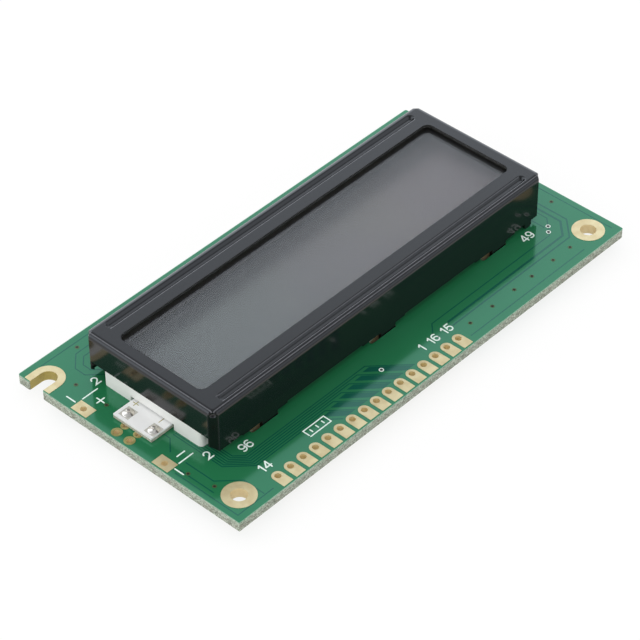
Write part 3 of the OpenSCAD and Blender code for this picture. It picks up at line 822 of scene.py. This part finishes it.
def add_ring(mesh, x, y, inner, outer, low):
    """Adds a flat ring in millimetres on a level in metres."""
    inner, outer, high = inner * MM, outer * MM, low + VIA_T
    profile = [(inner, low), (outer, low), (outer, high), (inner, high)]
    add_lathe(mesh, x * MM, y * MM, profile, VIA_STEPS, closed=True)


def add_disc(mesh, x, y, radius, low):
    """Adds a disc in millimetres, half as thick as a ring, on a level in metres."""
    profile = [(radius * MM, low), (radius * MM, low + VIA_T / 2)]
    add_lathe(mesh, x * MM, y * MM, profile, VIA_STEPS)


def vias():
    """Small plated holes under the mask, and three with a ring of ink."""
    rings, dots, inked = bmesh.new(), bmesh.new(), bmesh.new()
    for x, y in VIAS:
        for low in (board_top, board_bottom - VIA_T):
            add_ring(rings, x, y, VIA_R, VIA_RING_R, low)
            add_disc(dots, x, y, VIA_R, low)
    for x, y in RINGED_VIAS:
        add_ring(inked, x, y, RINGED_VIA_R, INK_RING_R, board_top)
        add_disc(dots, x, y, RINGED_VIA_R, board_top)
    make_piece("via_rings", rings, BRONZE)
    make_piece("via_holes", dots, HOLE_DARK)
    make_piece("via_ink", inked, INK)


def spread(middle, count, pitch):
    """Places at a pitch, as many each side of the middle."""
    return [middle + (i - (count - 1) / 2) * pitch for i in range(count)]


def underside_gaps():
    """Under the board: tracks from the pads to the chips, and between the chips."""
    chip_x = (controller_low.x + controller_high.x) / 2 / MM
    other_x = (driver_low.x + driver_high.x) / 2 / MM
    chip_y = (controller_low.y + controller_high.y) / 2 / MM
    reach = (controller_high.x - controller_low.x) / 2 / MM
    under_drop = 0.75 * reach
    lines = []

    inputs = 12
    start_y, turn_y, turn_step = -18, -11.5, 0.55
    for i, (x, across) in enumerate(zip(pad_x, spread(chip_x, inputs, 0.9))):
        turn = turn_y - turn_step * abs(i - (inputs - 1) / 2)
        arrive = min(turn + abs(x - across), chip_y - reach - 0.2)
        lines.append([(x, start_y), (x, turn), (across, arrive), (across, chip_y - under_drop)])

    for y in spread(chip_y, 9, 0.85):
        lines.append([(chip_x + 0.85 * reach, y), (other_x - under_drop, y)])

    straight, slant = 9.5, 2.4
    for middle, pitch, start, side in (
        (other_x, 0.75, under_drop, 1), (chip_x, 0.85, 0.8 * reach, -1),
    ):
        for x in spread(middle, 14, pitch):
            lines.append([
                (x, chip_y + start), (x, chip_y + straight),
                (x + side * slant, chip_y + straight + slant),
            ])
    outlines = [stroke(line, GAP, False) for line in lines]
    print_piece("underside_gaps", outlines, TRACK_T, BARE, below=True)


legend()
bare_areas()
board_gaps()
vias()
underside_gaps()


# ---------------------------------------------------------------- the backlight's tongue

PIN_R = 0.3 * MM
lead_x = (pins_low.x + pins_high.x) / 2
lead_y = (pins_low.y + PIN_R, pins_high.y - PIN_R)

# The bare pads round the pins, and the signs beside them, in millimetres.
LEAD_HALF_X, LEAD_HALF_Y = 1.05, 0.95
POLE_RIGHT, POLE_BEHIND = 2.05, 0.55
POLE_ARM, POLE_LINE = 0.5, 0.13


def solder_cones():
    """Solder drawn up each pin on the tongue, and down it under the board."""
    mesh = bmesh.new()
    radius = (solder_high.x - solder_low.x) / 2
    height = solder_high.z - tongue_top
    depth = board_bottom - solder_low.z
    neck, crown, hollow, steps = 0.34, 0.86, 1.8, 40
    point, flare = 0.36, 0.42
    shares = [i / 8 for i in range(9)]
    turns = [math.radians(15 * i) for i in range(1, 6)]
    cone = [(radius, tongue_top - 0.01 * MM)]
    for t in shares:
        wide = neck + (1 - neck) * (1 - t) ** hollow
        cone.append((radius * wide, tongue_top + height * crown * t))
    for a in turns:
        rise = crown + (1 - crown) * math.sin(a)
        cone.append((radius * neck * math.cos(a), tongue_top + height * rise))
    fillet = [
        (radius * (point + flare * t ** hollow), board_bottom - depth * (1 - t)) for t in shares
    ]
    for y in lead_y:
        add_lathe(mesh, lead_x, y, cone, steps)
        add_lathe(mesh, lead_x, y, fillet, steps)
    piece = make_piece("lead_solder", mesh, SOLDER, smooth=True)
    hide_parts("backlight_solder")


def tongue_print():
    """The bare pads round the pins, and a minus and a plus in gold."""
    x = lead_x / MM
    pads, marks = [], []
    for y, plus in zip(lead_y, (False, True)):
        pads.append(oblong(x, y / MM, LEAD_HALF_X, LEAD_HALF_Y))
        marks += sign(x + POLE_RIGHT, y / MM + POLE_BEHIND, POLE_ARM, POLE_LINE, plus)
    print_piece("lead_pads", pads, LEAD_T, LEAD_PAD, level=tongue_top)
    print_piece("polarity_marks", marks, LEAD_T, DULL_GOLD, level=tongue_top)


solder_cones()
tongue_print()


# ---------------------------------------------------------------- edges

def soften(name):
    """Rounds a CAD node's sharp edges a little, without touching its mesh."""
    node = nodes[name]
    weld = node.modifiers.new("weld", "WELD")
    weld.merge_threshold = 0.002 * MM
    flat = node.modifiers.new("flat", "DECIMATE")
    flat.decimate_type = "DISSOLVE"
    flat.angle_limit = math.radians(1)
    bevel = node.modifiers.new("bevel", "BEVEL")
    bevel.width = 0.07 * MM
    bevel.segments = 2
    bevel.limit_method = "ANGLE"
    bevel.angle_limit = math.radians(35)
    bevel.harden_normals = True


for chip_node in ("resistor_bodies", "resistor_ends", "capacitor_bodies", "capacitor_ends"):
    soften(chip_node)


# ---------------------------------------------------------------- camera and studio

def add_camera():
    """A long lens that looks down on the board's near left corner."""
    azimuth = math.radians(-47.03)
    elevation = math.radians(41.76)
    roll = math.radians(-0.435)
    distance = 410.18 * MM
    target = Vector((-4.28 * MM, -2.08 * MM, board_top))
    away = Vector((
        math.sin(azimuth) * math.cos(elevation),
        -math.cos(azimuth) * math.cos(elevation),
        math.sin(elevation),
    ))
    data = bpy.data.cameras.new("camera")
    data.lens = 157.87
    data.sensor_width = 36
    data.clip_start = 0.01
    data.clip_end = 10
    camera = bpy.data.objects.new("camera", data)
    level = away.to_track_quat("Z", "Y").to_matrix().to_4x4()
    turn = Matrix.Rotation(roll, 4, "Z")
    camera.matrix_world = Matrix.Translation(target + away * distance) @ level @ turn
    bpy.context.scene.collection.objects.link(camera)
    bpy.context.scene.camera = camera


def floor_look():
    """A matt white that glows to the camera and in gloss, so its shadow is faint."""
    keep_shadow = 0.2
    pale, paler = (0.9, 0.9, 0.9, 1), (0.92, 0.92, 0.92, 1)
    look = Look("studio_floor", pale, rough=0.9)
    look.to_shader("Base Color", look.mix(look.noise(30 * MM), pale, paler))
    rays = look.add("ShaderNodeLightPath").outputs
    seen = look.either(rays["Is Camera Ray"], rays["Is Transmission Ray"])
    seen = look.either(seen, rays["Is Glossy Ray"])
    glow = look.add("ShaderNodeEmission")
    glow.inputs["Strength"].default_value = 1.03
    join = look.add("ShaderNodeMixShader")
    look.feed(join.inputs[0], look.product(seen, 1 - keep_shadow))
    look.feed(join.inputs[1], look.shader.outputs[0])
    look.feed(join.inputs[2], glow.outputs[0])
    look.feed(look.tree.nodes["Material Output"].inputs["Surface"], join.outputs[0])
    return look.material


def add_floor():
    """A wide white floor under the module."""
    reach = 3.0
    mesh = bmesh.new()
    corners = oblong(0, 0, reach, reach)
    mesh.faces.new([mesh.verts.new((x, y, cad_box[0].z)) for x, y in corners])
    data = bpy.data.meshes.new("floor")
    mesh.to_mesh(data)
    mesh.free()
    data.materials.append(floor_look())
    floor = bpy.data.objects.new("floor", data)
    bpy.context.scene.collection.objects.link(floor)


# What gloss sees of the room, from the horizon at 0 to straight overhead at 1.
DOME_LEVELS = (
    (0, 0.3), (0.17, 0.45), (0.32, 0.72), (0.5, 0.72),
    (0.62, 0.47), (0.68, 0.365), (0.82, 0.2), (1, 0.18),
)
DOME_PEAK = 3.0
GLOSS_TINT = (0.97, 1.05, 1.16, 1)


def add_world():
    """A white room: what gloss sees of it is bright low down and dim overhead.

    It is darker where the photographer would stand, and lights the matt
    surfaces a little more from the left and from behind.
    """
    world = bpy.data.worlds.new("studio")
    bpy.context.scene.world = world
    world.use_nodes = True
    room = Shading(world.node_tree)
    background = room.tree.nodes["Background"]
    place = room.add("ShaderNodeTexCoord").outputs["Generated"]

    def toward(x, y, z):
        node = room.add("ShaderNodeVectorMath", operation="DOT_PRODUCT")
        room.feed(node.inputs[0], place)
        room.feed(node.inputs[1], (x, y, z))
        return node.outputs["Value"]

    dome = room.add("ShaderNodeValToRGB")
    room.feed(dome.inputs[0], toward(0, 0, 1))
    stops = dome.color_ramp.elements
    while len(stops) < len(DOME_LEVELS):
        stops.new(0.5)
    for stop, (position, value) in zip(stops, DOME_LEVELS):
        stop.position = position
        stop.color = (value, value, value, 1)

    photographer = room.ramp(toward(-0.73, -0.68, 0), 0.45, 0.85, 1, 0.15)
    near_right = room.ramp(toward(-0.68, 0.73, 0), -0.6, -0.1, 0.55, 1)
    gloss = room.product(dome.outputs[0], DOME_PEAK)
    gloss = room.product(room.product(gloss, photographer), near_right)
    matt = room.math("ADD", 1.05, toward(-0.35, 0.14, 0))

    rays = room.add("ShaderNodeLightPath").outputs
    strength = room.blend(rays["Is Glossy Ray"], matt, gloss)
    strength = room.blend(rays["Is Camera Ray"], strength, 1.0)
    room.feed(background.inputs["Strength"], strength)
    tint = room.mix(rays["Is Glossy Ray"], WHITE, GLOSS_TINT)
    room.feed(background.inputs["Color"], tint)


add_camera()
add_floor()
add_world()
bpy.context.scene.view_settings.view_transform = "Standard"
bpy.context.scene.cycles.transparent_max_bounces = 24
